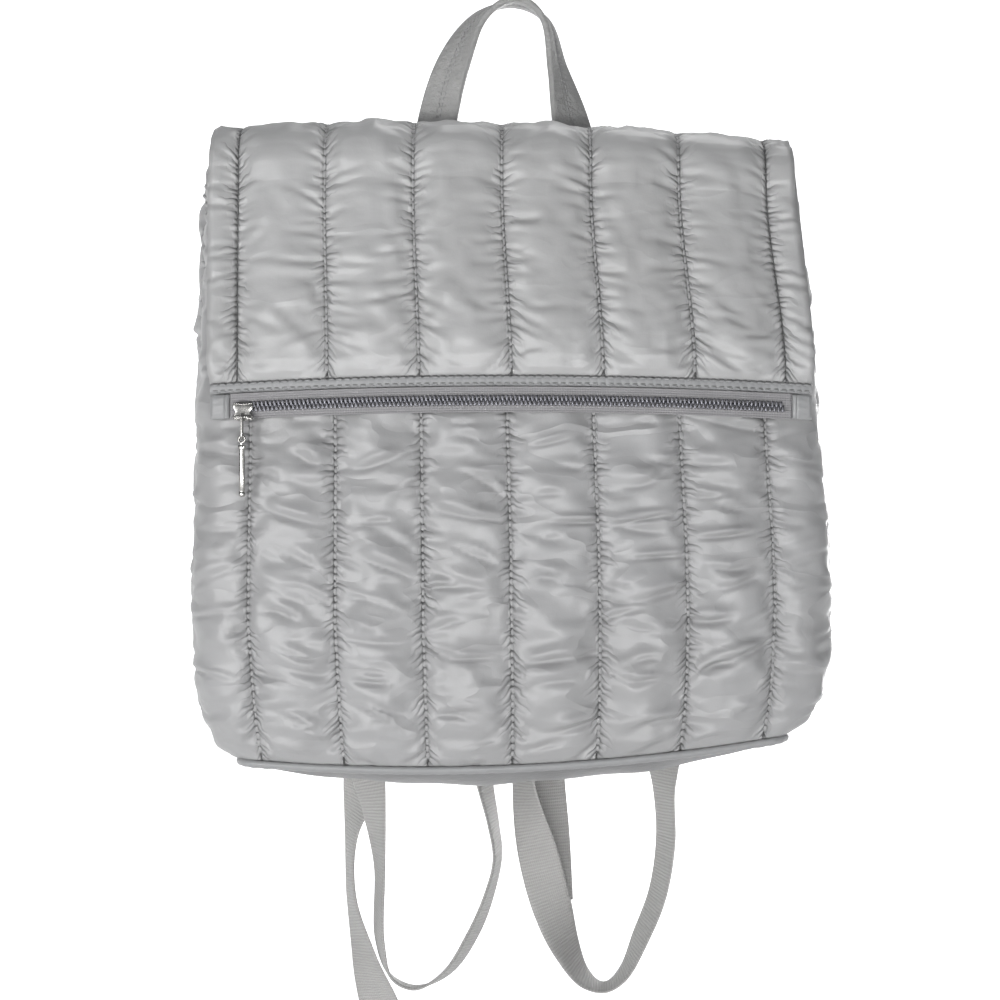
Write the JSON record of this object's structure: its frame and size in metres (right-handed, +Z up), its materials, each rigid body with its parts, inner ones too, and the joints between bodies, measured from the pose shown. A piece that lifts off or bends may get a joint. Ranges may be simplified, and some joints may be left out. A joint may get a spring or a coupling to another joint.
{
  "type": "quilted backpack",
  "caption": "Silver quilted puffer backpack with a fold-over flap, an exposed metal zip along its hem, a grab handle and two webbing straps hanging in slack loops.",
  "frame": {"origin": "the hang point: the inside top of the grab handle's loop, where a hook carries the bag", "axes": "+Z up, front (flap and zip) towards -Y, +X to the bag's right as seen from the front"},
  "size_m": [0.3634, 0.1611, 0.6108],
  "materials": {
    "quilt": "satin silver-grey nylon, padded and sewn in channels",
    "hem": "gathered satin binding",
    "trim": "shiny satin binding",
    "base": "plain satin base cloth",
    "handle": "folded satin cloth with a centre seam",
    "tape": "woven zip tape",
    "webbing": "ribbed woven webbing",
    "gunmetal": "dark plated zip teeth",
    "silver": "polished slider and pull",
    "glide": "satin grey adjuster"
  },
  "bodies": {
    "bag": {"quilted_sack": "quilt", "base_piping": "trim", "base_panel": "base", "fold_over_flap": "quilt", "flap_hem_band": "hem", "zip_tape": "tape", "zip_chain": "gunmetal", "zip_tab_left": "trim", "zip_tab_right": "trim", "zip_slider": "silver", "grab_handle": "handle", "shoulder_strap_left": "webbing", "shoulder_strap_right": "webbing", "strap_tail_left": "webbing", "strap_tail_right": "webbing", "strap_glide_left": "glide", "strap_glide_right": "glide"},
    "pull_link": {"pull_link": "silver"},
    "pull_bar": {"pull_bar": "silver"}
  },
  "joints": [
    {"name": "pull_link_swing", "type": "hinge", "parent": "bag", "child": "pull_link", "pos_m": [-0.15, -0.10471, -0.24897], "axis": [-1, 0, 0], "range_deg": [0, 120]},
    {"name": "pull_bar_swing", "type": "hinge", "parent": "pull_link", "child": "pull_bar", "pos_m": [-0.15, -0.10471, -0.26084], "axis": [0, 1, 0], "range_deg": [-45, 45]}
  ]
}
